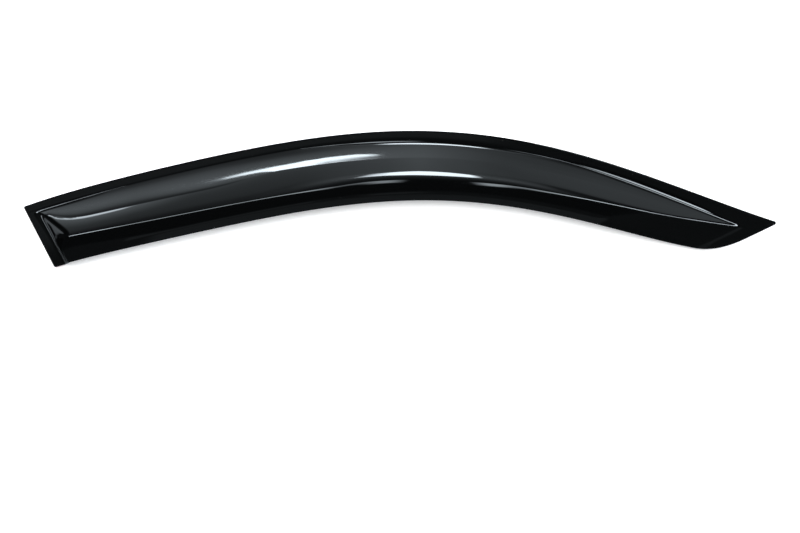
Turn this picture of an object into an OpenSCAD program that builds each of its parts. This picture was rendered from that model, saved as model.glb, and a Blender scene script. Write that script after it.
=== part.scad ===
// Window rain deflector for a front side door.
// One moulded acrylic visor with foam mounting tape along its top edge and its closed end,
// each run of tape still covered by its release liner.
// X runs along the door towards the pointed front, Z is up, and the outer face looks towards -Y.
// The origin lies on the back of the liner, midway across the tape at the crown of the arch.

/* [Outline] */
// Length from the crown back to the closed end
rear_len = 418.5; // [320:0.5:520]
// Length from the crown forward to the pointed tip
front_len = 383; // [300:1:480]
// How far the closed end's top corner lies below the crown
rear_drop = 84; // [50:1:110]
// How far the pointed tip lies below the crown
front_drop = 101; // [60:0.5:130]
// Height of the visor, straight down from the crown
visor_h = 75; // [66:1:95]
// Lean of the closed end from upright, in degrees
end_lean = 27.2; // [18:0.2:34]
// Climb of the slanted front edge from level, in degrees
front_climb = 25.4; // [18:0.2:30]
// Radius of the small outer corners
corner_r = 2; // [0.8:0.1:3]

/* [Section] */
// Thickness of the acrylic
wall = 2.5; // [2:0.1:3.5]
// Height of the flat mounting flange at the crown
flange_h = 10; // [9.6:0.1:13]
// Height from the top edge down to the outer bend
bend_h = 55; // [48:1:62]
// Lean of the shoulder's upper panel from the plane of the flange, in degrees
upper_deg = 34.6; // [28:0.2:38]
// Lean of the shoulder's lower panel from the plane of the flange, in degrees
lower_deg = 30.4; // [25:0.2:34]
// Lean of the skirt above its lip, in degrees
skirt_deg = 6; // [2:0.5:9]
// Height of the upright lip along the lower edge
lip_h = 9.5; // [6:0.5:14]

/* [Closed end] */
// Width of the flat flange along the closed end
end_flange_w = 15; // [13:0.5:22]
// Lean of the end wall from the plane of the flange, in degrees
end_wall_deg = 56; // [45:1:62]
// Width of the flat border along the slanted front edge
front_border_w = 11; // [8:0.5:16]

/* [Tape] */
// Width of the foam tape
tape_w = 7.6; // [6:0.1:8.2]
// Thickness of the foam tape
tape_t = 1; // [0.8:0.1:1.6]
// Thickness of the release liner
liner_t = 0.2; // [0.2:0.05:0.4]
// Distance of the tape from the edge of the acrylic
tape_inset = 0.7; // [0.6:0.1:1]
// Gap between the run along the top and the run down the closed end
tape_gap = 0.6; // [0.4:0.1:2]

/* [Hidden] */

total_len = rear_len + front_len;
stack_t = tape_t + liner_t;
// Height of the top edge above the middle of the tape, at the crown
crown_z = tape_inset + tape_w / 2;

// Poles of the curves along the length, from the closed end to the tip
top_poles = [-rear_drop, -0.43 * rear_drop, -0.33 * rear_drop, 0.4 * front_drop,
             0.09 * front_drop, -0.57 * front_drop, -front_drop];
height_poles = visor_h * [1, 1.02, 1.24, 0.62, 1.39, 0.42];
bend_poles = bend_h * [0.76, 1.27, 0.84, 1.29, 0.15];
flange_poles = flange_h * [0.87, 1.22, 0.65, 1.02, 1.84];

// Slope added at the top and at the foot of each panel, and near the closed end
upper_start = -0.21;
lower_start = 0.04;
lower_end = -0.04;
rear_upper_start = -0.14;
rear_upper_end = -0.19;
rear_lower_start = 0.11;
// Share of the shoulder at which its panels meet: at a soft ridge, and at a groove near the closed end
ridge_at = 0.43;
rear_ridge_at = 0.545;
// Stretches along X in which the groove, the swell under it and the ridge fade out
rear_fade = [-225, -140];
swell_fade = [-330, -230];
ridge_fade = [0, 160];
// Width and lean of the narrow chamfer between the shoulder and the skirt, also at the crown
chamfer_poles = [1, 3, 11, 3, 1];
chamfer_deg = 22.5;
crown_chamfer_w = 7.2;
crown_chamfer_deg = 12;
// Middle of the crown, and how far from it the softer folds of the crown start and stop to fade
crown_x = 22;
crown_fade = [62, 125];
// Depth over which two faces blend into each other, for each kind of fold
flange_blend = 0.15;
crown_flange_blend = 1.4;
front_flange_blend = 0.75;
front_flange_fade = [130, 230];
chamfer_blend = 0.35;
crown_chamfer_blend = 2;
bend_blend = 0.3;
lip_blend = 0.25;
end_blend = 8;
// Height over which the lower edge turns into the slanted front edge
front_turn = 16;
// Steepness of the pocket's floor towards the slanted front edge
front_rise = 0.3;
// Length over which the section lines turn to follow the closed end, and to stand upright at the tip
end_turn = 130;
tip_turn = 90;

// A smooth curve from its poles
function curve(poles, s) =
    len(poles) == 1
    ? poles[0]
    : curve([for (i = [0:len(poles) - 2]) poles[i] * (1 - s) + poles[i + 1] * s], s);

// The lower and the higher of two values, blended where they are within k of each other
function blend_min(a, b, k) = min(a, b) - pow(max(k - abs(a - b), 0), 2) / (4 * k);
function blend_max(a, b, k) = -blend_min(-a, -b, k);
function clamp(v, low, high) = max(low, min(high, v));
function ease(t) = let (c = clamp(t, 0, 1)) c * c * (3 - 2 * c);
function mix(a, b, share) = a + (b - a) * share;
function fade_out(x, stretch) = 1 - ease((x - stretch[0]) / (stretch[1] - stretch[0]));
function along(x) = (x + rear_len) / total_len;

// Edges and fold lines seen from outside, as heights at a place along X
function top_z(x) = curve(top_poles, along(x)) - curve(top_poles, along(0)) + crown_z;
function top_slope(x) = top_z(x + 0.5) - top_z(x - 0.5);
function front_edge_z(x) = top_z(front_len) - (front_len - x) * tan(front_climb);
function low_z(x) = blend_max(top_z(x) - curve(height_poles, along(x)), front_edge_z(x), front_turn);
function flange_at(x) = curve(flange_poles, along(x));
function bend_at(x) = max(curve(bend_poles, along(x)), flange_at(x));

// Distances inward from the closed end and from the slanted front edge
function from_end(x, z) = (x + rear_len) * cos(end_lean) + (z - top_z(-rear_len)) * sin(end_lean);
function from_front(x, z) = (z - front_edge_z(x)) * cos(front_climb);

// 1 around the crown, falling to 0 at either side of it
function near_crown(x) = fade_out(abs(x - crown_x), crown_fade);
function panels_meet(x) = mix(ridge_at, rear_ridge_at, fade_out(x, rear_fade));
function chamfer_share(x) =
    mix(curve(chamfer_poles, along(x)), crown_chamfer_w, near_crown(x)) / (bend_h - flange_h);

// Rise over a panel of unit width, whose slope differs by start at its top and by end at its foot
function panel(q, slope, start, end) = slope * q + start * (1 - pow(1 - q, 4)) / 4 + end * pow(q, 6) / 6;

// Rise of the shoulder at a distance below the flange, out of its whole span
function shoulder_rise(x, d, span) =
    let (rear = fade_out(x, rear_fade),
         flat = 1 - fade_out(x, ridge_fade),
         at = panels_meet(x) * span,
         upper = tan(upper_deg),
         lower = tan(lower_deg),
         level = (upper + lower) / 2,
         upper_from = mix(upper_start, rear_upper_start, rear),
         lower_from = mix(lower_start, rear_lower_start, fade_out(x, swell_fade)),
         first = panel(min(d / at, 1), mix(upper, level, flat), upper_from, rear_upper_end * rear),
         second = panel(clamp((d - at) / (span - at), 0, 1.1), mix(lower, level, flat), lower_from, lower_end))
    at * first + (span - at) * second;

// How far the outer face stands off the flange
function standoff(x, z) =
    let (h = top_z(x) - z,
         f = flange_at(x),
         b = bend_at(x),
         crown = near_crown(x),
         span = max(b - f, 1),
         cut = chamfer_share(x) * span,
         chamfer = tan(mix(chamfer_deg, crown_chamfer_deg, crown)),
         b_rise = shoulder_rise(x, span - cut, span) + chamfer * cut,
         lip_top = max(top_z(x) - low_z(x) - lip_h, b),
         skirt = tan(skirt_deg) * min(1, b_rise / (bend_h / 2)),
         side = blend_min(b_rise + skirt * (h - b), b_rise + skirt * (lip_top - b), lip_blend),
         shoulder = blend_min(shoulder_rise(x, h - f, span), b_rise + chamfer * (h - b),
                              mix(chamfer_blend, crown_chamfer_blend, crown)),
         body = blend_min(shoulder, side, bend_blend),
         front = front_rise * (from_front(x, z) - front_border_w),
         closed = tan(end_wall_deg) * (from_end(x, z) - end_flange_w),
         bowl = blend_min(blend_min(body, closed, end_blend), front, end_blend / 4),
         fold = mix(mix(front_flange_blend, flange_blend, fade_out(x, front_flange_fade)),
                    crown_flange_blend, crown))
    blend_max(0, bowl - fold, fold);

// Outer and inner point of the shell; the inner one lies a wall thickness behind the outer one
function outer_point(p) = [p[0], -stack_t - wall - standoff(p[0], p[1]), p[1]];
function inner_point(p) =
    let (step = 0.05,
         gx = (standoff(p[0] + step, p[1]) - standoff(p[0] - step, p[1])) / (2 * step),
         gz = (standoff(p[0], p[1] + step) - standoff(p[0], p[1] - step)) / (2 * step))
    outer_point(p) + wall / norm([gx, 1, gz]) * [gx, 1, gz];

// A section line leaves the top edge at x_top and leans by lean(x_top) of run per unit of drop
function lean(x_top) =
    let (end_part = pow(max(0, 1 - (x_top + rear_len) / end_turn), 2),
         tip_part = ease(1 - (front_len - x_top) / tip_turn))
    top_slope(x_top) * (1 - end_part) * (1 - tip_part) + tan(end_lean) * end_part;

// Drop along a section line to a line that runs below the top edge
LOW = 0;
BEND = 1;
FLANGE = 2;
function below_top(kind, x) =
    kind == LOW ? top_z(x) - low_z(x) : kind == BEND ? bend_at(x) : flange_at(x);
function drop_to(kind, x_top, n = 6, drop = 0) =
    n == 0
    ? drop
    : let (x = x_top + lean(x_top) * drop)
      drop_to(kind, x_top, n - 1, below_top(kind, x) - top_z(x) + top_z(x_top));

// The rounded tip: a circle that touches the top edge and the slanted front edge
tip_top_deg = -atan(top_slope(front_len));
tip_half_deg = (tip_top_deg + front_climb) / 2;
tip_axis_deg = (front_climb - tip_top_deg) / 2;
tip_x = front_len - corner_r / sin(tip_half_deg) * cos(tip_axis_deg);
tip_z = top_z(front_len) - corner_r / sin(tip_half_deg) * sin(tip_axis_deg);
function tip_arc(x) = sqrt(max(0, corner_r * corner_r - (x - tip_x) * (x - tip_x)));

// Shortening of the section lines near the closed end, which rounds its two corners
function corner_cut(q) = q >= corner_r ? 0 : corner_r - sqrt(corner_r * corner_r - pow(corner_r - q, 2));

// Where the section lines start, from the closed end to the tip
end_zone = end_flange_w + 36;
nose_zone = 60;
body_rows = 56;
nose_rows = 15;
body_step = (total_len - end_zone - nose_zone) / body_rows;
x_tops = concat(
    [for (a = [4, 30, 60, 90]) -rear_len + corner_r * (1 - cos(a))],
    [for (q = [5, 9, end_flange_w - 2.5]) q - rear_len],
    [for (q = [end_flange_w - 1:1.9:end_zone - 1]) q - rear_len],
    [for (i = [0:body_rows - 1]) -rear_len + end_zone + i * body_step],
    [for (i = [0:nose_rows - 1]) front_len - nose_zone + i * (nose_zone - 4) / nose_rows],
    [tip_x + corner_r * sin(tip_half_deg)],
    [for (a = [40, 65, 80]) tip_x + corner_r * sin(a)]);

// Shares of a section line at which its points lie, closer together at the folds
function shares(x_top) =
    let (full = drop_to(LOW, x_top),
         f = clamp(drop_to(FLANGE, x_top) / full, 0.08, 0.5),
         b = clamp(drop_to(BEND, x_top) / full, f + 0.1, 0.86),
         l = clamp(1 - lip_h / full, b + 0.06, 0.94),
         fold = min(0.012, (b - f) / 30),
         m = mix(f, b, panels_meet(x_top)),
         c = b - max(chamfer_share(x_top) * (b - f), 3 * fold))
    [0, f - fold, f + 0.4 * fold, f + 2 * fold,
     for (t = [0.2, 0.38, 0.56, 0.74, 0.88, 1]) mix(f, m, t),
     for (t = [0.2, 0.46, 0.74, 1]) mix(m, c, t),
     mix(c, b, 0.35), mix(c, b, 0.66), b - 0.4 * fold, b + 0.5 * fold, b + 1.6 * fold,
     (b + l) / 2, l - fold, l + fold, (1 + l) / 2 + fold, 1];

// Points of one section line in the plane of the flange
function section_points(x_top) =
    let (full = drop_to(LOW, x_top),
         run = lean(x_top),
         cut = corner_cut(x_top + rear_len),
         top_edge = top_z(x_top),
         in_tip = x_top > tip_x + corner_r * sin(tip_half_deg) - 0.01,
         high = in_tip ? min(top_edge, tip_z + tip_arc(x_top)) : top_edge - cut,
         low = in_tip ? max(top_edge - full, tip_z - tip_arc(x_top)) : top_edge - full + cut)
    [for (s = shares(x_top)) let (z = high + (low - high) * s) [x_top + run * (top_edge - z), z]];

// A closed shell from its outer sheet and the inner sheet behind it
module shell(sections) {
    rows = len(sections);
    cols = len(sections[0]);
    outer = [for (row = sections) for (p = row) outer_point(p)];
    inner = [for (row = sections) for (p = row) inner_point(p)];
    back = rows * cols;
    faces = concat(
        [for (i = [0:rows - 2]) for (j = [0:cols - 2])
            let (a = i * cols + j) each [[a, a + cols, a + 1], [a + 1, a + cols, a + cols + 1]]],
        [for (i = [0:rows - 2]) for (j = [0:cols - 2])
            let (a = back + i * cols + j) each [[a, a + 1, a + cols], [a + 1, a + cols + 1, a + cols]]],
        [for (i = [0:rows - 2])
            let (a = i * cols) each [[a, back + a, a + cols], [a + cols, back + a, back + a + cols]]],
        [for (i = [1:rows - 1])
            let (a = i * cols - 1) each [[a, a + cols, back + a], [a + cols, back + a + cols, back + a]]],
        [for (j = [0:cols - 2]) each [[j, j + 1, back + j], [j + 1, back + j + 1, back + j]]],
        [for (j = [0:cols - 2])
            let (a = (rows - 1) * cols + j) each [[a, back + a, a + 1], [a + 1, back + a, back + a + 1]]]);
    polyhedron(points = concat(outer, inner), faces = faces, convexity = 6);
}

// A point at a distance square below the top edge, and the place along X that puts it over x
function inset_point(x, d) =
    let (g = top_slope(x), n = norm([g, 1]))
    [x + d * g / n, top_z(x) - d / n];
function foot_of(x, d) = let (g = top_slope(x)) x - d * g / norm([g, 1]);

// Places near the closed end: d inward from its edge, and down along it from the top corner
function end_point(d, down) =
    [-rear_len + d * cos(end_lean) + down * sin(end_lean),
     top_z(-rear_len) + d * sin(end_lean) - down * cos(end_lean)];
// How far down the closed end a line lies that runs below the top edge or above the lower edge
low_corner_x = -rear_len + lean(-rear_len) * drop_to(LOW, -rear_len);
top_skew = end_lean - atan(top_slope(-rear_len));
low_skew = end_lean - atan(low_z(low_corner_x + 1) - low_z(low_corner_x));
end_run = drop_to(LOW, -rear_len) / cos(end_lean);
function under_top(d, below) = d * tan(top_skew) + below / cos(top_skew);
function over_low(d, above) = end_run + d * tan(low_skew) - above / cos(low_skew);

// Outline of the tape along the top edge, trimmed along the closed end, the tip and the slanted front edge
strip_low = tape_inset + tape_w;
tip_full_deg = 2 * tip_half_deg;
front_run = (strip_low - tape_inset * cos(tip_full_deg)) / sin(tip_full_deg);
strip_rear = [end_point(tape_inset, under_top(tape_inset, tape_inset)),
              end_point(tape_inset, under_top(tape_inset, strip_low))];
strip_front = [front_len - front_run * cos(front_climb) - tape_inset * sin(front_climb),
               top_z(front_len) - front_run * sin(front_climb) + tape_inset * cos(front_climb)];
module top_strip_outline() {
    n = 90;
    high_from = foot_of(strip_rear[0][0], tape_inset);
    low_from = foot_of(strip_rear[1][0], strip_low);
    low_to = foot_of(strip_front[0], strip_low);
    high_to = tip_x - 1;
    high = [for (i = [1:n]) inset_point(high_from + (high_to - high_from) * i / n, tape_inset)];
    tip = [for (a = [90 - tip_top_deg:-20:-90 + front_climb])
        [tip_x, tip_z] + (corner_r - tape_inset) * [cos(a), sin(a)]];
    low = [for (i = [n - 1:-1:1]) inset_point(low_from + (low_to - low_from) * i / n, strip_low)];
    polygon(concat([strip_rear[0]], high, tip, [strip_front], low, [strip_rear[1]]));
}

// Outline of the tape down the closed end
module end_strip_outline() {
    side = tape_inset + tape_w;
    start = strip_low + tape_gap;
    polygon([end_point(tape_inset, under_top(tape_inset, start)),
             end_point(side, under_top(side, start)),
             end_point(side, over_low(side, tape_inset)),
             end_point(tape_inset, over_low(tape_inset, tape_inset))]);
}

// Lays a strip of a given thickness in front of a plane behind the flange
module strip(behind, thickness) {
    translate([0, -behind, 0])
        rotate([90, 0, 0])
            linear_extrude(height = thickness)
                children();
}

module visor() {
    color([0.03, 0.03, 0.035])
        shell([for (x = x_tops) section_points(x)]);
}

module top_tape() {
    color([0.18, 0.18, 0.19])
        strip(liner_t, tape_t) top_strip_outline();
}

module end_tape() {
    color([0.18, 0.18, 0.19])
        strip(liner_t, tape_t) end_strip_outline();
}

module top_liner() {
    color([0.8, 0.09, 0.11])
        strip(0, liner_t) top_strip_outline();
}

module end_liner() {
    color([0.8, 0.09, 0.11])
        strip(0, liner_t) end_strip_outline();
}

visor();
top_tape();
end_tape();
top_liner();
end_liner();
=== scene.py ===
import bpy
import numpy as np
from math import comb, cos, degrees, radians, sin, sqrt, tan
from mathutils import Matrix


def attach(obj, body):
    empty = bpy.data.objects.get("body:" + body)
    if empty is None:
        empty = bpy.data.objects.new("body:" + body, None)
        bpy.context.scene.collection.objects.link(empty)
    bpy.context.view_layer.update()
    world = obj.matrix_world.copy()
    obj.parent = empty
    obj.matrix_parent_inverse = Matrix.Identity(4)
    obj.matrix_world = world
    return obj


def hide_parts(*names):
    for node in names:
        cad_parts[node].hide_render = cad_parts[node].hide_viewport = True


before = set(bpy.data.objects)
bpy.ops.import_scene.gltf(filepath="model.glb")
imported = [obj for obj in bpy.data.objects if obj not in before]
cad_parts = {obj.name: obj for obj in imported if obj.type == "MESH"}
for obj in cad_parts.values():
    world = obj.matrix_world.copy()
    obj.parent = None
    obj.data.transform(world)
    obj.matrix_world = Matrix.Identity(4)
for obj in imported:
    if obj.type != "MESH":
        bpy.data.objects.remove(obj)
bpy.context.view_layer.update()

# Visor, outline
# The visor is one sheet of dark smoked acrylic, heated and formed over a mould, then trimmed.
# These are the lines it is trimmed to, seen square to the door, in millimetres from the middle
# of the tape at the crown. Its top edge and its height are smooth curves, shaped by a few poles.
REAR_LEN = 418.5
FRONT_LEN = 383.0
TOTAL_LEN = REAR_LEN + FRONT_LEN
REAR_DROP = 84.0
FRONT_DROP = 101.0
VISOR_H = 75.0
END_LEAN = radians(27.2)
FRONT_CLIMB = radians(25.4)
FRONT_TURN = 16.0
TAPE_W = 7.6
TAPE_INSET = 0.7
CROWN_Z = TAPE_INSET + TAPE_W / 2
TOP_POLES = [-REAR_DROP, -0.43 * REAR_DROP, -0.33 * REAR_DROP, 0.4 * FRONT_DROP,
             0.09 * FRONT_DROP, -0.57 * FRONT_DROP, -FRONT_DROP]
HEIGHT_POLES = [VISOR_H * share for share in (1, 1.02, 1.24, 0.62, 1.39, 0.42)]


def curve(poles, x):
    """A smooth curve along the visor, from its poles."""
    s = (np.asarray(x, float) + REAR_LEN) / TOTAL_LEN
    n = len(poles) - 1
    return sum(pole * comb(n, i) * s**i * (1 - s)**(n - i) for i, pole in enumerate(poles))


def blend_min(a, b, k):
    """The lower of two values, rounded over where they are within k of each other."""
    return np.minimum(a, b) - np.maximum(k - np.abs(a - b), 0)**2 / (4 * k)


def blend_max(a, b, k):
    """The higher of two values, rounded over in the same way."""
    return -blend_min(-a, -b, k)


def ease(t):
    """0 below 0 and 1 above 1, with a smooth rise between."""
    t = np.clip(t, 0, 1)
    return t * t * (3 - 2 * t)


def top_z(x):
    return curve(TOP_POLES, x) - curve(TOP_POLES, 0) + CROWN_Z


def top_slope(x):
    return top_z(x + 0.5) - top_z(x - 0.5)


def front_edge_z(x):
    """The slanted front edge, which climbs to the tip."""
    return top_z(FRONT_LEN) - (FRONT_LEN - x) * tan(FRONT_CLIMB)


def low_z(x):
    """The free lower edge, which turns into the front edge over FRONT_TURN."""
    return blend_max(top_z(x) - curve(HEIGHT_POLES, x), front_edge_z(x), FRONT_TURN)


def from_end(x, z):
    """Distance from the edge of the closed end."""
    return (x + REAR_LEN) * cos(END_LEAN) + (z - top_z(-REAR_LEN)) * sin(END_LEAN)


def from_front(x, z):
    """Distance from the front edge."""
    return (z - front_edge_z(x)) * cos(FRONT_CLIMB)


# Visor, moulded form
# The outer face leaves the flat flange at a fold and slopes over two panels to a sharp bend,
# below which stands an upright skirt with a lip. A steep wall closes the rear end, and the form
# runs out to nothing before the slanted front edge.
WALL = 2.5
TAPE_T = 1.0
LINER_T = 0.2
FACE_Y = -(TAPE_T + LINER_T + WALL)
FLANGE_H = 10.0
BEND_H = 55.0
FLANGE_POLES = [FLANGE_H * share for share in (0.87, 1.22, 0.65, 1.02, 1.84)]
BEND_POLES = [BEND_H * share for share in (0.76, 1.27, 0.84, 1.29, 0.15)]

# The two panels: their slopes, how far these turn at the panels' edges, and the ridge between,
# which turns into a groove towards the closed end. Here and below, a pair of places is a stretch
# along X over which one form passes into another, and a zone holds the middle, the inner and the
# outer half length of such a stretch to either side.
UPPER_DEG = 34.95
LOWER_DEG = 30.4
UPPER_START = -0.21
LOWER_START = 0.04
LOWER_END = -0.04
REAR_UPPER_START = -0.14
REAR_UPPER_END = -0.19
REAR_LOWER_START = 0.14
REAR_FADE = (-225.0, -140.0)
SWELL_FADE = (-330.0, -230.0)
GROOVE_FADE = (-300.0, -205.0)
GROOVE_POWER = 12
SWELL_POWER = 6
EASE_POWER = 3.5
RIDGE_AT = 0.43
REAR_RIDGE_AT = 0.545
RIDGE_FADE = (0.0, 160.0)
RIDGE_LIFT = 0.26
LIFT_AT = (-388.0, -337.0)
LIFT_POWER = 2.8
LIFT_MOST = 1.05

# The bend, with a flatter strip above it that is broad and soft over the crown
CHAMFER_POLES = [1.0, 3.0, 11.0, 3.0, 1.0]
CHAMFER_DEG = 22.5
CHAMFER_BLEND = 0.35
CROWN_CHAMFER_W = 7.2
CROWN_CHAMFER_DEG = 12.0
CROWN_CHAMFER_BLEND = 2.0
CROWN_ZONE = (22.0, 62.0, 200.0)
BEND_BLEND = 0.3

# The skirt and its lip
SKIRT_DEG = 6.0
LIP_H = 9.5
LIP_TUCK = 0.02
LIP_BLEND = 0.25

# The closed end: its flange, a low shoulder and the wall, which is steepest at its foot
END_FLANGE_W = 13.0
TOP_END_FLANGE_W = 12.0
END_FLANGE_FALL = 50.0
END_FOLD_W = 5.6
LOW_END_FOLD_W = 11.8
END_SHOULDER = 0.11
END_HOLLOW = 3.2
END_WALL = radians(51.0)
LOW_END_WALL = radians(80.0)
LOW_END_FROM = 38.0
LOW_END_TO = 70.0
END_BLEND = 6.0
TOP_END_BLEND = 0.3
END_BLEND_RUN = 15.0

# The fold along the flange, and the slight rise that leads into it
FLANGE_BLEND = 0.01
REAR_FLANGE_BLEND = 1.25
REAR_FLANGE_FADE = (-385.0, -300.0)
CROWN_FLANGE_BLEND = 1.4
CROWN_FOLD_ZONE = (22.0, 55.0, 160.0)
FRONT_FLANGE_BLEND = 1.0
FRONT_FLANGE_FADE = (130.0, 230.0)
END_FOLD_RUN = 12.0
LEAD_RISE = 0.1
LEAD_LEN = 2.0
FRONT_LEAD_RISE = 0.6
FRONT_LEAD_LEN = 3.0
FRONT_LEAD_END = (285.0, 335.0)

# The flat border along the front edge, from which the form rises
FRONT_BORDER_W = 11.0
FRONT_RISE = 0.3
FRONT_BLEND = 2.0


def mix(a, b, share):
    return a + (b - a) * share


def flange_at(x):
    """Drop from the top edge to the fold below the flange."""
    return curve(FLANGE_POLES, x)


def bend_at(x):
    """Drop from the top edge to the bend."""
    return np.maximum(curve(BEND_POLES, x), flange_at(x))


def fade_out(x, stretch):
    """1 before a stretch along X, falling to 0 over it."""
    return 1 - ease((x - stretch[0]) / (stretch[1] - stretch[0]))


def near_crown(x, zone=CROWN_ZONE):
    """1 around the crown, falling to 0 at either side of it."""
    middle, inner, outer = zone
    return ease((outer - np.abs(x - middle)) / (outer - inner))


def ridge_at(x):
    """Share of the shoulder's width at which its two panels meet."""
    lift = np.clip((LIFT_AT[1] - x) / (LIFT_AT[1] - LIFT_AT[0]), 0, LIFT_MOST)**LIFT_POWER
    return mix(RIDGE_AT, REAR_RIDGE_AT, fade_out(x, REAR_FADE)) - RIDGE_LIFT * lift


def chamfer_w(x):
    return mix(curve(CHAMFER_POLES, x), CROWN_CHAMFER_W, near_crown(x))


def panel(q, slope, start, end, power=SWELL_POWER):
    """Rise over a panel of unit width, whose slope differs by start at its top and by end at its foot."""
    top_part = start * (1 - np.maximum(1 - q, 0)**EASE_POWER) / EASE_POWER
    return slope * q + top_part + end * np.maximum(q, 0)**power / power


def slope_rise(x, d, span):
    """Standoff of the shoulder at a distance below the flange, out of its whole span."""
    rear = fade_out(x, REAR_FADE)
    flat = 1 - fade_out(x, RIDGE_FADE)
    at = ridge_at(x) * span
    upper = tan(radians(UPPER_DEG))
    lower = tan(radians(LOWER_DEG))
    level = (upper + lower) / 2
    first = panel(np.clip(d / at, -1, 1), mix(upper, level, flat), mix(UPPER_START, REAR_UPPER_START, rear),
                  REAR_UPPER_END * rear, mix(GROOVE_POWER, SWELL_POWER, fade_out(x, GROOVE_FADE)))
    second = panel(np.clip((d - at) / (span - at), 0, 1.1), mix(lower, level, flat),
                   mix(LOWER_START, REAR_LOWER_START, fade_out(x, SWELL_FADE)), LOWER_END)
    return at * first + (span - at) * second


def shoulder_and_skirt(x, z):
    """Standoff of the shoulder, the bend, the skirt and the lip, as if they had no ends."""
    h = top_z(x) - z
    f = flange_at(x)
    b = bend_at(x)
    crown = near_crown(x)
    span = np.maximum(b - f, 1)
    cut = chamfer_w(x) * span / (BEND_H - FLANGE_H)
    chamfer = np.tan(np.radians(mix(CHAMFER_DEG, CROWN_CHAMFER_DEG, crown)))
    b_rise = slope_rise(x, span - cut, span) + chamfer * cut
    lip_top = np.maximum(top_z(x) - low_z(x) - LIP_H, b)
    skirt = tan(radians(SKIRT_DEG)) * np.minimum(1, b_rise / (BEND_H / 2))
    lip = b_rise + skirt * (lip_top - b) - LIP_TUCK * (h - lip_top)
    side = blend_min(b_rise + skirt * (h - b), lip, LIP_BLEND)
    body = blend_min(slope_rise(x, h - f, span), b_rise + chamfer * (h - b),
                     mix(CHAMFER_BLEND, CROWN_CHAMFER_BLEND, crown))
    return blend_min(body, side, BEND_BLEND)


def end_rise(x, z):
    """Standoff of the closed end's flange, low shoulder and wall."""
    h = top_z(x) - z
    down = ease(h / END_FLANGE_FALL)
    foot = ease((h - LOW_END_FROM) / (LOW_END_TO - LOW_END_FROM))**2
    steepness = mix(tan(END_WALL), tan(LOW_END_WALL), foot)
    wall = steepness * (from_end(x, z) - mix(TOP_END_FLANGE_W, END_FLANGE_W, down))
    shoulder = END_SHOULDER * (from_end(x, z) - mix(END_FOLD_W, LOW_END_FOLD_W, down))
    return blend_max(shoulder, wall, END_HOLLOW)


def standoff(x, z):
    """How far the outer face stands off the plane of the flange."""
    past_fold = top_z(x) - z - flange_at(x)
    fold = mix(FRONT_FLANGE_BLEND, FLANGE_BLEND, fade_out(x, FRONT_FLANGE_FADE))
    fold = mix(fold, CROWN_FLANGE_BLEND, near_crown(x, CROWN_FOLD_ZONE))
    fold += (REAR_FLANGE_BLEND - FLANGE_BLEND) * fade_out(x, REAR_FLANGE_FADE)
    front = FRONT_RISE * (from_front(x, z) - FRONT_BORDER_W)
    end_blend = mix(TOP_END_BLEND, END_BLEND, ease(past_fold / END_BLEND_RUN))
    bowl = blend_min(shoulder_and_skirt(x, z) - fold, end_rise(x, z), end_blend)
    bowl = blend_min(bowl, front - fold, FRONT_BLEND)
    fold = mix(FLANGE_BLEND, fold, ease((from_end(x, z) - END_FOLD_W) / END_FOLD_RUN))
    in_front = (1 - fade_out(x, FRONT_FLANGE_FADE)) * fade_out(x, FRONT_LEAD_END)
    lead = np.exp(np.minimum(past_fold, 0) / mix(LEAD_LEN, FRONT_LEAD_LEN, in_front))
    lead *= mix(LEAD_RISE, FRONT_LEAD_RISE, in_front)
    return blend_max(lead, bowl + lead, fold)


def slopes(x, z):
    """Slopes of the outer face along X and Z."""
    step = 0.05
    along = (standoff(x + step, z) - standoff(x - step, z)) / (2 * step)
    up = (standoff(x, z + step) - standoff(x, z - step)) / (2 * step)
    return along, up


# Steps and turns of the search for the outer point nearest to a point of the inner face
SEARCH_STEPS = (2.2, 1.4, 0.9, 0.5, 0.25, 0.12, 0.06, 0.03)
SEARCH_TURN = 30


def inner_standoff(x, z):
    """Standoff of the inner face, which lies WALL behind the nearest point of the outer face."""
    best = standoff(x, z) - WALL
    over = 0 * x
    up = 0 * x
    for step in SEARCH_STEPS:
        from_over = over
        from_up = up
        for angle in np.radians(np.arange(0, 360, SEARCH_TURN)):
            dx = from_over + step * cos(angle)
            dz = from_up + step * sin(angle)
            depth = WALL**2 - dx * dx - dz * dz
            level = standoff(x + dx, z + dz) - np.sqrt(np.maximum(depth, 0))
            nearer = (level < best) & (depth > 0)
            best = np.where(nearer, level, best)
            over = np.where(nearer, dx, over)
            up = np.where(nearer, dz, up)
    gx, gz = slopes(x + over, z + up)
    reach = WALL / np.sqrt(1 + gx * gx + gz * gz)
    return np.minimum(best, standoff(x - gx * reach, z - gz * reach) - reach)


def sheet_points(x, z, share):
    """Points between the outer face, share 0, and the inner face, share 1, in metres."""
    rise = standoff(x, z)
    if share > 0:
        rise = mix(rise, inner_standoff(x, z), share)
    return np.stack([x, FACE_Y - rise, z], -1) / 1000


# Visor, mesh
# The sheet is laid out in section lines from the top edge down. They lean as the closed end does
# beside it, stand square to the top edge further on, and are upright at the tip. The trimmed
# edge is rounded over by EDGE_R on both faces.
EDGE_R = 0.5
RIM_TURNS = [30, 60, 90]
CORNER_R = 2.0
END_TURN = 130.0
TIP_TURN = 90.0
TIP_TOP = -np.arctan(top_slope(FRONT_LEN))
TIP_HALF = (TIP_TOP + FRONT_CLIMB) / 2
TIP_AXIS = (FRONT_CLIMB - TIP_TOP) / 2
TIP_X = FRONT_LEN - CORNER_R / sin(TIP_HALF) * cos(TIP_AXIS)
TIP_Z = top_z(FRONT_LEN) - CORNER_R / sin(TIP_HALF) * sin(TIP_AXIS)
TIP_START = TIP_X + CORNER_R * sin(TIP_HALF)
TIP_STOP = radians(84)
SOLVE_STEPS = 8

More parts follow.
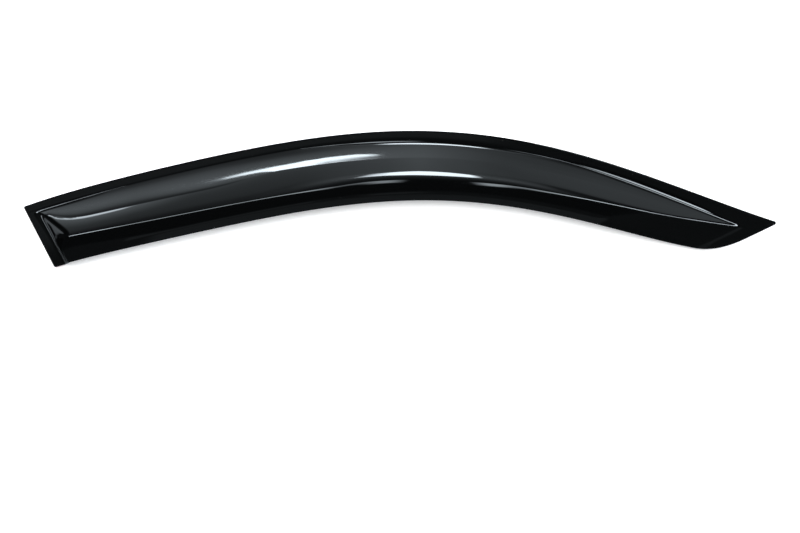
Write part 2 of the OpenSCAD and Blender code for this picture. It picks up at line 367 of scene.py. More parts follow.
# Marks along the top edge, each with the number of section lines from the one before it
TOP_MARKS = [-REAR_LEN + CORNER_R, -REAR_LEN + END_FOLD_W - 2, -REAR_LEN + 68, -REAR_LEN + 110,
             FRONT_LEN - 60, TIP_START]
TOP_COUNTS = [4, 110, 40, 230, 60]
CORNER_COUNT = 8
TIP_COUNT = 9

# Points down a section line, between the fold, the ridge, the bend, the lip and the trimmed edge,
# with the half width of the dense stretch at each of them
FOLD_HALF = 1.2
RIDGE_HALF = 2.0
BEND_HALF = 1.0
LIP_HALF = 2.4
LINE_COUNTS = [5, 12, 14, 10, 18, 10, 6, 6, 6]
FOLD_COLUMN = LINE_COUNTS[0] + LINE_COUNTS[1] // 2

# Stretches along X where the fold below the flange is crisp
CRISP_FOLD = [(-310.0, -62.0), (84.0, 140.0)]


def lean(x_top):
    """Run of a section line per unit of drop."""
    end_part = np.maximum(0, 1 - (x_top + REAR_LEN) / END_TURN)**2
    tip_part = ease(1 - (FRONT_LEN - x_top) / TIP_TURN)
    return top_slope(x_top) * (1 - end_part) * (1 - tip_part) + tan(END_LEAN) * end_part


def drop_to(below_top, x_top):
    """Drop along a section line to a line at a given height below the top edge."""
    drop = 0 * x_top
    for _ in range(SOLVE_STEPS):
        x = x_top + lean(x_top) * drop
        drop = below_top(x) - top_z(x) + top_z(x_top)
    return drop


def spread(marks, counts):
    """Even steps between marks, with counts[i] steps from mark i to mark i + 1."""
    parts = [np.linspace(a, b, n, endpoint=False) for a, b, n in zip(marks[:-1], marks[1:], counts)]
    return np.concatenate(parts + [np.array([marks[-1]])])


corner_angles = np.radians(np.linspace(0, 90, CORNER_COUNT + 1))[:-1]
tip_angles = np.linspace(TIP_HALF, TIP_STOP, TIP_COUNT + 1)[1:]
x_tops = np.concatenate([-REAR_LEN + CORNER_R * (1 - np.cos(corner_angles)), spread(TOP_MARKS, TOP_COUNTS),
                         TIP_X + CORNER_R * np.sin(tip_angles)])

# Shares of each section line at which the folds lie, kept a little apart where they run together
full_drop = drop_to(lambda x: top_z(x) - low_z(x), x_tops)
f_share = np.clip(drop_to(flange_at, x_tops) / full_drop, 0.08, 0.45)
b_share = np.clip(drop_to(bend_at, x_tops) / full_drop, f_share + 0.12, 0.86)
l_share = np.clip(1 - LIP_H / full_drop, b_share + 0.06, 0.94)
r_share = f_share + ridge_at(x_tops) * (b_share - f_share)
f_half = np.minimum(FOLD_HALF / full_drop, f_share / 3)
r_half = np.minimum(RIDGE_HALF / full_drop, (b_share - f_share) / 10)
b_half = np.minimum(BEND_HALF / full_drop, (b_share - f_share) / 12)
l_half = np.minimum(LIP_HALF / full_drop, (l_share - b_share) / 3)
shares = spread([0 * f_share, f_share - f_half, f_share + f_half, r_share - r_half, r_share + r_half,
                 b_share - b_half, b_share + b_half, l_share - l_half, l_share + l_half, 1 + 0 * f_share],
                LINE_COUNTS).T


def lay_out(inset):
    """Places of the sheet's points seen square to the door, with the trimmed edge inset."""
    r = CORNER_R - inset
    from_corner = np.maximum(x_tops + REAR_LEN, 0)
    start = -REAR_LEN + inset / cos(END_LEAN - np.arctan(top_slope(-REAR_LEN)))
    x_top = start + (x_tops + REAR_LEN) * (TIP_START - start) / (TIP_START + REAR_LEN)
    in_tip = x_tops > TIP_START - 0.001
    x_top = np.where(in_tip, TIP_X + (x_tops - TIP_X) * r / CORNER_R, x_top)
    run = lean(x_tops)
    corner_arc = np.sqrt(np.maximum(CORNER_R**2 - (CORNER_R - from_corner)**2, 0))
    cut = np.where(from_corner < CORNER_R, CORNER_R - corner_arc, 0)
    slant = np.sqrt(1 + top_slope(x_top)**2)
    tip_arc = np.sqrt(np.maximum(r * r - (x_top - TIP_X)**2, 0))
    edge = top_z(x_top)
    drop = 0 * x_top
    for _ in range(SOLVE_STEPS):
        x = x_top + run * drop
        drop = edge - low_z(x) - inset * np.sqrt(1 + (low_z(x + 0.5) - low_z(x - 0.5))**2)
    high = np.where(in_tip, np.minimum(edge, TIP_Z + tip_arc), edge - inset * slant - cut)
    low = np.where(in_tip, np.maximum(edge - drop, TIP_Z - tip_arc), edge - drop + cut)
    level = (edge[:, None] - full_drop[:, None] * shares - high[:, None]) / (low - high)[:, None]
    level[:, 0] = 0
    level[:, -1] = 1
    level = np.where(in_tip[:, None], shares, level)
    z = high[:, None] + (low - high)[:, None] * level
    x = x_top[:, None] + run[:, None] * (edge[:, None] - z)
    return x, z


def border(grid):
    """The grid's outline, once round."""
    return np.concatenate([grid[:-1, 0], grid[-1, :-1], grid[:0:-1, -1], grid[0, :0:-1]])


def grid_faces(rows, cols, first, flip):
    """Faces of a grid whose points are numbered from first."""
    i, j = np.meshgrid(np.arange(rows - 1), np.arange(cols - 1), indexing="ij")
    a = (first + i * cols + j).ravel()
    quad = np.stack([a, a + cols, a + cols + 1, a + 1], -1)
    return quad[:, ::-1] if flip else quad


def make_object(name, points, faces, material):
    """A smooth-shaded piece with one material."""
    mesh = bpy.data.meshes.new(name)
    mesh.from_pydata([tuple(p) for p in points], [], [tuple(int(i) for i in f) for f in faces])
    mesh.polygons.foreach_set("use_smooth", [True] * len(mesh.polygons))
    mesh.materials.append(material)
    mesh.update()
    piece = bpy.data.objects.new(name, mesh)
    bpy.context.scene.collection.objects.link(piece)
    return piece


x0, z0 = lay_out(EDGE_R)
rows, cols = x0.shape
outer = sheet_points(x0, z0, 0)
inner = sheet_points(x0, z0, 1)
rim_steps = [(EDGE_R * (1 - sin(a)), EDGE_R * (1 - cos(a))) for a in np.radians(RIM_TURNS)]
rim_steps += [(inset, WALL - depth) for inset, depth in reversed(rim_steps)]
rim_loops = []
for inset, depth in rim_steps:
    x1, z1 = lay_out(inset)
    rim_loops.append(sheet_points(border(x1), border(z1), depth / WALL))
index = np.arange(rows * cols).reshape(rows, cols)
loop_ids = [border(index)]
count = 2 * rows * cols
for loop in rim_loops:
    loop_ids.append(count + np.arange(len(loop)))
    count += len(loop)
loop_ids.append(border(index) + rows * cols)
faces = [grid_faces(rows, cols, 0, False), grid_faces(rows, cols, rows * cols, True)]
for a, b in zip(loop_ids[:-1], loop_ids[1:]):
    faces.append(np.stack([a, b, np.roll(b, -1), np.roll(a, -1)], -1))
points = np.concatenate([outer.reshape(-1, 3), inner.reshape(-1, 3)] + rim_loops)

# Visor, smoked acrylic
# The sheet is smoked almost black and glossy. Here its gloss is faintly uneven, as forming is
# taken to leave it, and a little dust lies on it.
ACRYLIC = (0.0007, 0.0008, 0.0008, 1)
ACRYLIC_DUSTY = (0.0016, 0.0017, 0.0018, 1)
ACRYLIC_IOR = 1.49
GLOSS = (0.02, 0.045)
GLOSS_NOISE = (0.35, 0.65)


def new_material(name):
    """A material with the nodes that shape its surface."""
    material = bpy.data.materials.new(name)
    material.use_nodes = True
    return material, material.node_tree, material.node_tree.nodes["Principled BSDF"]


def add_pattern(tree, kind, **values):
    """A noise or cell pattern that keeps its place on the piece."""
    place = tree.nodes.new("ShaderNodeTexCoord")
    pattern = tree.nodes.new(kind)
    for socket, value in values.items():
        pattern.inputs[socket].default_value = value
    tree.links.new(place.outputs["Object"], pattern.inputs["Vector"])
    return pattern


def add_range(tree, value, between, start=0.0, stop=1.0):
    """A value between two bounds, carried over to the range from start to stop."""
    node = tree.nodes.new("ShaderNodeMapRange")
    node.inputs["From Min"].default_value = between[0]
    node.inputs["From Max"].default_value = between[1]
    node.inputs["To Min"].default_value = start
    node.inputs["To Max"].default_value = stop
    tree.links.new(value, node.inputs["Value"])
    return node.outputs["Result"]


def add_mix(tree, share, first, second):
    """Two colours mixed by a share, each a value or another node's output."""
    node = tree.nodes.new("ShaderNodeMix")
    node.data_type = "RGBA"
    tree.links.new(share, node.inputs[0])
    for socket, colour in ((node.inputs[6], first), (node.inputs[7], second)):
        if isinstance(colour, tuple):
            socket.default_value = colour
        else:
            tree.links.new(colour, socket)
    return node.outputs[2]


def add_bump(tree, height, strength, distance):
    node = tree.nodes.new("ShaderNodeBump")
    node.inputs["Strength"].default_value = strength
    node.inputs["Distance"].default_value = distance
    tree.links.new(height, node.inputs["Height"])
    return node.outputs["Normal"]


acrylic, tree, shader = new_material("smoked_acrylic")
haze = add_pattern(tree, "ShaderNodeTexNoise", Scale=14, Detail=6)
dust = add_pattern(tree, "ShaderNodeTexNoise", Scale=900, Detail=2)
tree.links.new(add_range(tree, haze.outputs["Fac"], GLOSS_NOISE, *GLOSS), shader.inputs["Roughness"])
tree.links.new(add_mix(tree, dust.outputs["Fac"], ACRYLIC, ACRYLIC_DUSTY), shader.inputs["Base Color"])
shader.inputs["IOR"].default_value = ACRYLIC_IOR

visor = make_object("visor_sheet", points, np.concatenate(faces), acrylic)
sharp = visor.data.attributes.new("sharp_edge", "BOOLEAN", "EDGE")
ends = np.empty(2 * len(visor.data.edges), int)
visor.data.edges.foreach_get("vertices", ends)
ends = ends.reshape(-1, 2)
on_fold = (ends < rows * cols).all(1) & (ends % cols == FOLD_COLUMN).all(1)
edge_x = 1000 * points[ends[:, 0], 0]
crisp = np.any([(edge_x > start) & (edge_x < stop) for start, stop in CRISP_FOLD], axis=0)
sharp.data.foreach_set("value", on_fold & crisp)
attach(visor, "root")
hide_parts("visor")

# Foam tape
# Double-sided acrylic foam tape, 1 mm thick, die-cut and pressed onto the back of the flange: one
# run follows the arched top edge, a second one goes down the closed end below it.
STRIP_LOW = TAPE_INSET + TAPE_W
TAPE_GAP = 0.6
TAPE_CORNER = 1.4
TAPE_TIP = 1.6
TOP_STEPS = 400
END_STEPS = 30
ACROSS_STEPS = 13
HALVINGS = 40
FOAM_SHARP = radians(40)
FOAM_ROUGHNESS = 0.85
CELL_SCALE = 2600
PORE_STRENGTH = 0.5
PORE_DEPTH = 0.0001
FOAM = (0.035, 0.035, 0.038, 1)
FOAM_LIGHT = (0.075, 0.075, 0.08, 1)

# Where the ends of the two runs are looked for: from the rear end and from the front end of the
# visor, and down from its rear corner
REAR_SEARCH = (-5, 30)
FRONT_SEARCH = (-60, 4)
END_SEARCH = (0, 40, 90)


def solve(gap, low, high):
    """Where a falling or rising gap passes through nought between two values."""
    rising = gap(high) > gap(low)
    for _ in range(HALVINGS):
        middle = (low + high) / 2
        past = (gap(middle) > 0) == rising
        low, high = np.where(past, low, middle), np.where(past, middle, high)
    return (low + high) / 2


def below_edge(x, w):
    """The point at a distance w square to the top edge, from the edge's point at x."""
    slope = top_slope(x)
    size = np.sqrt(1 + slope**2)
    return x + w * slope / size, top_z(x) - w / size


def corner_cut(w):
    """How far the rounded corners of a strip stand back at a place across it."""
    near = np.minimum(w - TAPE_INSET, STRIP_LOW - w)
    near = np.clip(TAPE_CORNER - near, 0, TAPE_CORNER)
    return TAPE_CORNER - np.sqrt(TAPE_CORNER**2 - near**2)


def top_run(along, across):
    """Places on the run along the top edge, from shares of its length and distances from the edge."""
    w = across[None, :]

    def past_end(x):
        return from_end(*below_edge(x, w)) - TAPE_INSET

    def past_front(x):
        return from_front(*below_edge(x, w)) - TAPE_INSET

    rear = solve(past_end, *[0 * w - REAR_LEN + place for place in REAR_SEARCH])
    front = solve(past_front, *[0 * w + FRONT_LEN + place for place in FRONT_SEARCH])
    rear = rear + corner_cut(w)
    front = np.minimum(front, FRONT_LEN - TAPE_TIP) - corner_cut(w)
    return below_edge(rear + (front - rear) * along[:, None], w)


def end_run(along, across):
    """Places on the run down the closed end."""
    w = across[None, :]

    def at(drop):
        z = top_z(-REAR_LEN) - drop
        return -REAR_LEN + (w + drop * sin(END_LEAN)) / cos(END_LEAN), z

    def under_top(drop):
        x, z = at(drop)
        return (top_z(x) - z) / np.sqrt(1 + top_slope(x)**2) - STRIP_LOW - TAPE_GAP

    def over_low(drop):
        x, z = at(drop)
        return z - low_z(x) - TAPE_INSET

    high, middle, low = [0 * w + place for place in END_SEARCH]
    start = solve(under_top, high, middle)
    stop = solve(over_low, middle, low)
    return at(start + (stop - start) * along[:, None])


def slab(x, z, front_y, back_y):
    """Points and faces of a flat piece between its front and its back."""
    front = np.stack([x, front_y, z], -1) / 1000
    back = np.stack([x, back_y, z], -1) / 1000
    rows, cols = x.shape
    a = border(np.arange(rows * cols).reshape(rows, cols))
    b = a + rows * cols
    walls = np.stack([a, b, np.roll(b, -1), np.roll(a, -1)], -1)
    faces = [grid_faces(rows, cols, 0, False), grid_faces(rows, cols, rows * cols, True), walls]
    return np.concatenate([front.reshape(-1, 3), back.reshape(-1, 3)]), np.concatenate(faces)


foam, tree, shader = new_material("foam")
shader.inputs["Roughness"].default_value = FOAM_ROUGHNESS
cells = add_pattern(tree, "ShaderNodeTexVoronoi", Scale=CELL_SCALE)
tree.links.new(add_mix(tree, cells.outputs["Distance"], FOAM, FOAM_LIGHT), shader.inputs["Base Color"])
tree.links.new(add_bump(tree, cells.outputs["Distance"], PORE_STRENGTH, PORE_DEPTH), shader.inputs["Normal"])

across = np.linspace(TAPE_INSET, STRIP_LOW, ACROSS_STEPS)
for name, run, steps, node in (("top_foam", top_run, TOP_STEPS, "top_tape"),
                               ("end_foam", end_run, END_STEPS, "end_tape")):
    x, z = run(np.linspace(0, 1, steps), across)
    strip_points, strip_faces = slab(x, z, 0 * x - LINER_T - TAPE_T, 0 * x - LINER_T)
    strip = make_object(name, strip_points, strip_faces, foam)
    strip.data.set_sharp_from_angle(angle=FOAM_SHARP)
    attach(strip, "root")
    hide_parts(node)

# Release liner
# A thin glossy red film covers the tape until it is fitted. It is creased at the corner of the closed end,
# at a few pleats along the top, and near the tip, where its red is painted pale as a highlight on the
# creases.
FILM_RED = (0.66, 0.009, 0.012, 1)
FILM_DARK = (0.5, 0.005, 0.008, 1)
FILM_HIGHLIGHT_WHITE = (0.86, 0.4, 0.42, 1)
FILM_SHEEN = (0.22, 0.42)
CLOUD_NOISE = (0.3, 0.5)
RIPPLE_STRENGTH = 0.25
RIPPLE_DEPTH = 0.0002
FILM_SHARP = radians(50)
PLEAT_H = 0.3
PLEAT_POWER = 1.5

# Pleats of the top liner: place along X, lean, bend, half width at the outer and at the inner
# edge, strength at the outer and at the inner edge, which sets both the lift and the painted highlight
TOP_PLEATS = [(FRONT_LEN - 19.5, 0.25, 0.0, 0.25, 1.5, 0.9, 1.0),
              (FRONT_LEN - 31.0, 0.1, 0.0, 0.5, 0.5, 0.2, 0.25),
              (110.0, -0.35, 1.2, 0.3, 0.5, 0.35, 0.9),
              (64.0, 0.2, 0.4, 0.3, 0.35, 0.15, 0.25),
              (-REAR_LEN + 6.5, 0.95, 0.0, 0.35, 0.3, 1.0, 0.7),
              (-REAR_LEN + 11.0, 0.6, 0.0, 0.25, 0.2, 0.6, 0.0)]

# Pleats of the end liner: share of the way down, rise across, half width, strength at the outer
# and at the inner edge, which sets both the lift and the painted highlight
END_PLEATS = [(0.1, 0.75, 0.4, 1.0, 0.6), (0.13, -0.6, 0.35, 0.3, 0.9), (0.55, 0.15, 0.3, 0.15, 0.3),
              (0.93, -0.9, 0.45, 1.0, 0.3)]

# The corner of the top liner, painted pale as a highlight on its crease, and the pale lower part of the end
# liner
CORNER_HIGHLIGHT = 0.55
CORNER_HIGHLIGHT_W = 0.9
CORNER_HIGHLIGHT_FROM = STRIP_LOW - 5
CORNER_HIGHLIGHT_RUN = 4.0
LOW_WHITE = 0.3
LOW_WHITE_FROM = 0.6
LOW_WHITE_RUN = 0.15

# Steps along the top liner, dense where its pleats are, along the end liner, and across both
TOP_LINER_MARKS = [0, 0.04, 0.595, 0.69, 0.94, 1]
TOP_LINER_COUNTS = [80, 190, 190, 90, 120]
END_LINER_STEPS = 180
LINER_ACROSS = 22


def pleat(offset, half_width):
    return np.clip(1 - np.abs(offset) / half_width, 0, 1)


def top_pleats(x, w):
    """How far each point of the top liner belongs to a pleat, from 0 to 1."""
    t = (w - TAPE_INSET) / TAPE_W
    level = 0 * x
    for at, lean_by, bend_by, outer_w, inner_w, outer_level, inner_level in TOP_PLEATS:
        line = at + lean_by * (w - TAPE_INSET) + bend_by * t * t
        one = mix(outer_level, inner_level, t) * pleat(x - line, mix(outer_w, inner_w, t))
        level = np.maximum(level, one)
    return level


def end_pleats(down, w, length):
    """The same for the end liner, from the distance down it and its length."""
    t = (w - TAPE_INSET) / TAPE_W
    level = 0 * down
    for at, rise, width, outer_level, inner_level in END_PLEATS:
        line = at * length + rise * TAPE_W * (t - 0.5)
        level = np.maximum(level, mix(outer_level, inner_level, t) * pleat(down - line, width))
    return level


film, tree, shader = new_material("red_film")
cloud = add_pattern(tree, "ShaderNodeTexNoise", Scale=60, Detail=4)
red = add_mix(tree, add_range(tree, cloud.outputs["Fac"], CLOUD_NOISE), FILM_DARK, FILM_RED)
# Painted highlight: the red is mixed towards a pale colour by the share kept on each point of the film.
highlight_mask = tree.nodes.new("ShaderNodeAttribute")
highlight_mask.attribute_name = "highlight_and_pale"
tree.links.new(add_mix(tree, highlight_mask.outputs["Fac"], red, FILM_HIGHLIGHT_WHITE), shader.inputs["Base Color"])
tree.links.new(add_range(tree, cloud.outputs["Fac"], (0, 1), *FILM_SHEEN), shader.inputs["Roughness"])
ripple = add_pattern(tree, "ShaderNodeTexNoise", Scale=240, Detail=3)
tree.links.new(add_bump(tree, ripple.outputs["Fac"], RIPPLE_STRENGTH, RIPPLE_DEPTH), shader.inputs["Normal"])

across = np.linspace(TAPE_INSET, STRIP_LOW, LINER_ACROSS)
top_along = spread(TOP_LINER_MARKS, TOP_LINER_COUNTS)
end_along = np.linspace(0, 1, END_LINER_STEPS)
for name, run, along, node in (("top_film", top_run, top_along, "top_liner"),
                               ("end_film", end_run, end_along, "end_liner")):
    x, z = run(along, across)
    w = across[None, :] + 0 * x
    if run is top_run:
        folded = top_pleats(x, w)
        # Painted highlight on the crease at the corner of the closed end
        pale = CORNER_HIGHLIGHT * pleat(from_end(x, z) - TAPE_INSET, CORNER_HIGHLIGHT_W)
        pale *= ease((w - CORNER_HIGHLIGHT_FROM) / CORNER_HIGHLIGHT_RUN)
    else:
        length = float(np.hypot(x[-1, 0] - x[0, 0], z[-1, 0] - z[0, 0]))
        down = along[:, None] + 0 * x
        folded = end_pleats(down * length, w, length)
        pale = LOW_WHITE * ease((down - LOW_WHITE_FROM) / LOW_WHITE_RUN)
    lifted = PLEAT_H * folded**PLEAT_POWER
    film_points, film_faces = slab(x, z, lifted - LINER_T, lifted)
    strip = make_object(name, film_points, film_faces, film)
    strip.data.set_sharp_from_angle(angle=FILM_SHARP)
    # The pleats lift the film, and the same level paints it pale as a highlight on its creases; the end
    # liner's lower part is paler too.
    highlight_and_pale_share = strip.data.attributes.new("highlight_and_pale", "FLOAT", "POINT")
    highlight_and_pale_share.data.foreach_set("value", np.tile(np.maximum(folded, pale).ravel(), 2))
    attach(strip, "root")
    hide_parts(node)

# Camera
# It looks square at the outer face from 2.4 m, level with the middle of the picture. The crown of
# the arch is at CROWN_X_PX, CROWN_Y_PX in the photograph, where a pixel is MM_PER_PX at the flange.
CAMERA_M = 2.4
MM_PER_PX = 1.06
WIDTH_PX = 800
SENSOR_MM = 36
CENTRE_X_PX = 400.0
CENTRE_Y_PX = 266.5
CROWN_X_PX = 418.0
CROWN_Y_PX = 130.55
camera_data = bpy.data.cameras.new("camera")
camera_data.sensor_width = SENSOR_MM
camera_data.lens = SENSOR_MM * CAMERA_M / (WIDTH_PX * MM_PER_PX / 1000)
camera = bpy.data.objects.new("camera", camera_data)
bpy.context.scene.collection.objects.link(camera)
camera.location = ((CENTRE_X_PX - CROWN_X_PX) * MM_PER_PX / 1000, FACE_Y / 1000 - CAMERA_M,
                   ((CROWN_Y_PX - CENTRE_Y_PX) * MM_PER_PX + CROWN_Z) / 1000)
camera.rotation_euler = (radians(90), 0, 0)
bpy.context.scene.camera = camera

# Backdrop
# The deflector lies face up on a white sheet, a few millimetres behind the tape. The sheet is seen
# from the front alone, and keeps the soft shadow below the lower edge.
SHEET_Y = 6.0
SHEET_W = 3000.0
SHEET_H = 2000.0
SHEET_WHITE = (0.8, 0.8, 0.8, 1)
SHEET_GLOW = 0.42
sheet_mesh = bpy.data.meshes.new("white_sheet")
sheet_corners = [(-1, -1), (1, -1), (1, 1), (-1, 1)]
sheet_mesh.from_pydata([(a * SHEET_W / 2000, SHEET_Y / 1000, b * SHEET_H / 2000) for a, b in sheet_corners],
                       [], [(0, 1, 2, 3)])
white_sheet = bpy.data.objects.new("white_sheet", sheet_mesh)
bpy.context.scene.collection.objects.link(white_sheet)
paper = bpy.data.materials.new("white_paper")
paper.use_nodes = True
nodes = paper.node_tree.nodes
links = paper.node_tree.links
nodes.clear()
matt = nodes.new("ShaderNodeBsdfDiffuse")
matt.inputs["Color"].default_value = SHEET_WHITE
glow = nodes.new("ShaderNodeEmission")
glow.inputs["Strength"].default_value = SHEET_GLOW
both = nodes.new("ShaderNodeAddShader")
links.new(matt.outputs[0], both.inputs[0])
links.new(glow.outputs[0], both.inputs[1])
clear = nodes.new("ShaderNodeBsdfTransparent")
ray = nodes.new("ShaderNodeLightPath")
facing = nodes.new("ShaderNodeNewGeometry")
seen = nodes.new("ShaderNodeMath")
seen.operation = "SUBTRACT"
seen.use_clamp = True
links.new(ray.outputs["Is Camera Ray"], seen.inputs[0])
links.new(facing.outputs["Backfacing"], seen.inputs[1])
shown = nodes.new("ShaderNodeMixShader")
links.new(seen.outputs[0], shown.inputs[0])
links.new(clear.outputs[0], shown.inputs[1])
links.new(both.outputs[0], shown.inputs[2])
sheet_out = nodes.new("ShaderNodeOutputMaterial")
links.new(shown.outputs[0], sheet_out.inputs["Surface"])
sheet_mesh.materials.append(paper)

# Lamp
# One large soft lamp just above the camera throws the shadow on the sheet. The acrylic shows the
# room's own lights instead of its reflection.
LAMP_RISE = radians(6)
LAMP_SPREAD = radians(16)
LAMP_POWER = 2.5
lamp_data = bpy.data.lights.new("soft_lamp", "SUN")
lamp_data.energy = LAMP_POWER
lamp_data.angle = LAMP_SPREAD
lamp = bpy.data.objects.new("soft_lamp", lamp_data)
lamp.rotation_euler = (radians(90) - LAMP_RISE, 0, 0)
lamp.visible_glossy = False
bpy.context.scene.collection.objects.link(lamp)

# Studio
# The gloss of the visor mirrors the room, so the room is drawn by direction: dark walls, a pale
# ceiling over the camera, and a few strip lights. The camera itself sees plain white.
ROOM_TINT = (0.89, 1.0, 1.07, 1)
WHITE = (1, 1, 1, 1)
world = bpy.data.worlds.new("studio")
bpy.context.scene.world = world
world.use_nodes = True
tree = world.node_tree
tree.nodes.clear()


def calc(op, a, b=None, clamp=False):
    """One step of arithmetic on brightness or direction, where a and b are numbers or outputs."""
    node = tree.nodes.new("ShaderNodeMath")
    node.operation = op
    node.use_clamp = clamp
    for socket, value in zip(node.inputs, (a, b)):
        if value is None:
            continue
        if isinstance(value, (int, float)):
            socket.default_value = value
        else:
            tree.links.new(value, socket)
    return node.outputs[0]


def ramp(value, stops):
    """A level that follows its stops, and keeps the first and the last one beyond them."""
    node = tree.nodes.new("ShaderNodeValToRGB")
    low, high = stops[0][0], stops[-1][0]
    top = max(level for _, level in stops)
    tree.links.new(calc("DIVIDE", calc("SUBTRACT", value, low), high - low), node.inputs[0])
    elements = node.color_ramp.elements
    while len(elements) < len(stops):
        elements.new(0.5)
    for element, (place, _) in zip(elements, stops):
        element.position = (place - low) / (high - low)
    for element, (_, level) in zip(elements, stops):
        element.color = (level / top, level / top, level / top, 1)
    return calc("MULTIPLY", node.outputs[0], top)


def blend(a, b, share):
    return calc("ADD", calc("MULTIPLY", a, calc("SUBTRACT", 1, share)), calc("MULTIPLY", b, share))


# Turn is the angle from the camera upwards and over, in degrees. Side is the part of the direction
# that lies along X. The stops below pair a turn or a side with a brightness, where 1 is white.
direction = tree.nodes.new("ShaderNodeTexCoord").outputs["Generated"]
parts = tree.nodes.new("ShaderNodeSeparateXYZ")
tree.links.new(direction, parts.inputs[0])
side = parts.outputs[0]
turn = calc("MULTIPLY", calc("ARCTAN2", parts.outputs[2], calc("MULTIPLY", parts.outputs[1], -1)), degrees(1))


def light(turn_stops, side_stops):
    """A light that has its brightness by turn, within its bounds to either side."""
    return calc("MULTIPLY", ramp(turn, turn_stops), ramp(side, side_stops))


# The dark room with its pale floor, and the room behind the sheet, which the inner face mirrors
room = ramp(turn, [(-180, 0.02), (-138, 0.02), (-132, 0.7), (-126, 1.0), (-78, 1.0), (-72, 0.03),
                   (-60, 0.05), (6, 0.05), (9, 0), (180, 0.02)])
behind = light([(-180, 0.5), (-172, 0.3), (-160, 0.1), (-124, 0.06), (-122, 0), (102, 0), (106, 1.9),
                (160, 1.9), (172, 1.0), (180, 0.5)], [(-0.66, 0), (-0.6, 1)])

# The ceiling over the rear, the middle and the front of the visor, and a glow at its front foot
rear = ramp(turn, [(40, 0), (44, 0.04), (50, 0.085), (54, 0.13), (58, 0.2), (60, 0.26), (62, 0.31),
                   (63, 0.34), (64, 0.42), (65, 0.5), (66, 0.6), (67, 0.78), (68, 0.95), (69, 1.12),
                   (70, 1.28), (71, 1.42), (72, 1.6), (73, 1.8), (100, 1.9), (110, 0)])
middle = ramp(turn, [(40, 0), (44, 0.1), (50, 0.3), (56, 0.55), (60, 0.7), (62, 0.8), (64, 0.9), (66, 1.1),
                     (68, 1.25), (70, 1.36), (72, 1.46), (73, 1.6), (100, 1.6), (110, 0)])
front = ramp(turn, [(44, 0), (50, 0.03), (54, 0.06), (56, 0.13), (58, 0.17), (60, 0.36), (62, 0.53),
                    (64, 0.62), (68, 0.65), (70, 0.73), (73, 0.78), (100, 0.8), (110, 0)])
to_middle = ramp(side, [(-0.16, 0), (-0.07, 0.3), (0.02, 1)])
to_front = ramp(side, [(0.03, 0), (0.19, 1)])
ceiling = calc("MULTIPLY", blend(rear, blend(middle, front, to_front), to_middle),
               ramp(side, [(-0.56, 0), (-0.48, 1)]))
ceiling_foot = light([(40, 0), (44, 0.1), (48, 0.25), (54, 0.3), (58, 0.22), (62, 0)],
                     [(0.1, 0), (0.13, 1), (0.2, 1), (0.24, 0)])

# A faint glow below the camera's level, and another one just above it
glow_low = light([(-22, 0), (-8, 0.13), (-0.6, 0.13), (-0.2, 0)],
                 [(-0.155, 0), (-0.14, 1), (0.25, 1), (0.27, 0)])
glow_high = light([(0.3, 0), (0.7, 0.13), (4.2, 0.13), (5.5, 0)],
                  [(-0.2, 0), (-0.18, 1), (0.03, 1), (0.055, 0)])

# A long strip light high up, with the turns of its lower and its upper edge by side, and how fast
# it comes up from each of them with turn
LONG_LOW_RISE = 10
LONG_HIGH_RISE = 12
long_low = ramp(side, [(-0.3, 73.6), (-0.275, 72.9), (-0.256, 72.55), (-0.238, 72.45), (-0.22, 72.6),
                       (-0.2, 72.65), (-0.178, 72.4), (-0.157, 72.1), (-0.137, 72.05), (-0.119, 71.85),
                       (-0.088, 71.8), (-0.074, 71.75), (-0.061, 72.0), (-0.051, 72.25), (-0.04, 72.6)])
long_high = ramp(side, [(-0.178, 75), (-0.157, 73.2), (-0.137, 72.95), (-0.119, 72.83), (-0.103, 72.78),
                        (-0.088, 72.7), (-0.074, 72.63), (-0.061, 72.57), (-0.051, 72.5), (-0.04, 72.4)])
long_strip = calc("MULTIPLY", calc("MULTIPLY", calc("SUBTRACT", turn, long_low), LONG_LOW_RISE, clamp=True),
                  calc("MULTIPLY", calc("SUBTRACT", long_high, turn), LONG_HIGH_RISE, clamp=True))
long_strip = calc("MULTIPLY", long_strip, ramp(side, [(-0.31, 0), (-0.3, 25), (-0.04, 25), (-0.03, 0)]))
end_patch = light([(72.8, 0), (73.4, 4), (74.2, 10), (80, 10), (82, 0)],
                  [(-0.5, 0), (-0.45, 1), (-0.35, 1), (-0.31, 0)])

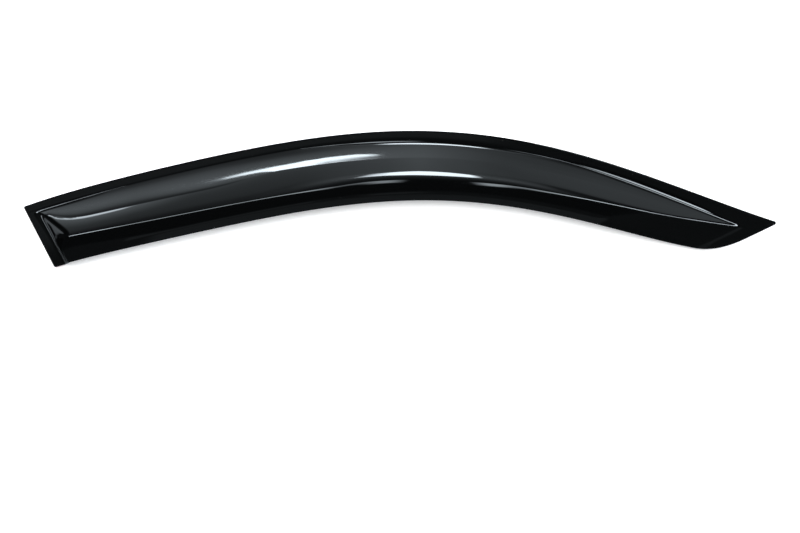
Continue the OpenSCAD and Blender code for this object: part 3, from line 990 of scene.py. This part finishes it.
# An oval light over the crown, which slants down to the front: its middle, its half sizes, how
# far it slants, and the brightness by distance from its middle, for the light and for its halo
OVAL_TURN = 52.5
OVAL_SIDE = 0.045
OVAL_HALF = (7, 0.11)
OVAL_SLANT_FROM = 0.02
OVAL_SLANT = 45
slanted = calc("MULTIPLY", calc("MAXIMUM", calc("SUBTRACT", side, OVAL_SLANT_FROM), 0), OVAL_SLANT)
oval_up = calc("DIVIDE", calc("ADD", calc("SUBTRACT", turn, OVAL_TURN), slanted), OVAL_HALF[0])
oval_along = calc("DIVIDE", calc("SUBTRACT", side, OVAL_SIDE), OVAL_HALF[1])
from_oval = calc("ADD", calc("POWER", oval_up, 2), calc("POWER", oval_along, 2))
oval = calc("MULTIPLY", ramp(from_oval, [(0.8, 25), (1.1, 0)]),
            ramp(side, [(-0.045, 0), (-0.03, 1), (0.12, 1), (0.14, 0)]))
halo = ramp(from_oval, [(1, 0.8), (2.5, 0.35), (5, 0.14), (9, 0.05), (14, 0)])

# A low strip light, which comes lower towards the front
low_turn = calc("ADD", turn, ramp(side, [(0, 0), (0.1, 5)]))
low_strip = calc("MULTIPLY", ramp(low_turn, [(19, 0), (20.5, 1), (27, 1), (29, 0)]),
                 ramp(side, [(-0.5, 0), (-0.46, 20), (-0.32, 20), (-0.26, 9), (-0.03, 8), (0, 4), (0.018, 0),
                             (0.1, 0), (0.12, 6), (0.2, 12), (0.3, 20)]))

# Two small lights below the camera, towards the closed end
foot_line = light([(-46, 0), (-43, 6), (-37, 6), (-34, 0)], [(-0.9, 0), (-0.85, 1), (-0.65, 1), (-0.6, 0)])
foot_glow = light([(-13, 0), (-11, 0.5), (-9, 0.5), (-7, 0)], [(-0.4, 0), (-0.35, 1), (-0.25, 1), (-0.22, 0)])

level = calc("MAXIMUM", room, behind)
for source in (ceiling_foot, ceiling, glow_low, glow_high, long_strip, end_patch, oval, halo, low_strip,
               foot_line, foot_glow):
    level = calc("ADD", level, source)

camera_ray = tree.nodes.new("ShaderNodeLightPath").outputs["Is Camera Ray"]
background = tree.nodes.new("ShaderNodeBackground")
tree.links.new(add_mix(tree, camera_ray, ROOM_TINT, WHITE), background.inputs["Color"])
tree.links.new(blend(level, 1, camera_ray), background.inputs["Strength"])
output = tree.nodes.new("ShaderNodeOutputWorld")
tree.links.new(background.outputs[0], output.inputs["Surface"])
bpy.context.scene.view_settings.view_transform = "Standard"
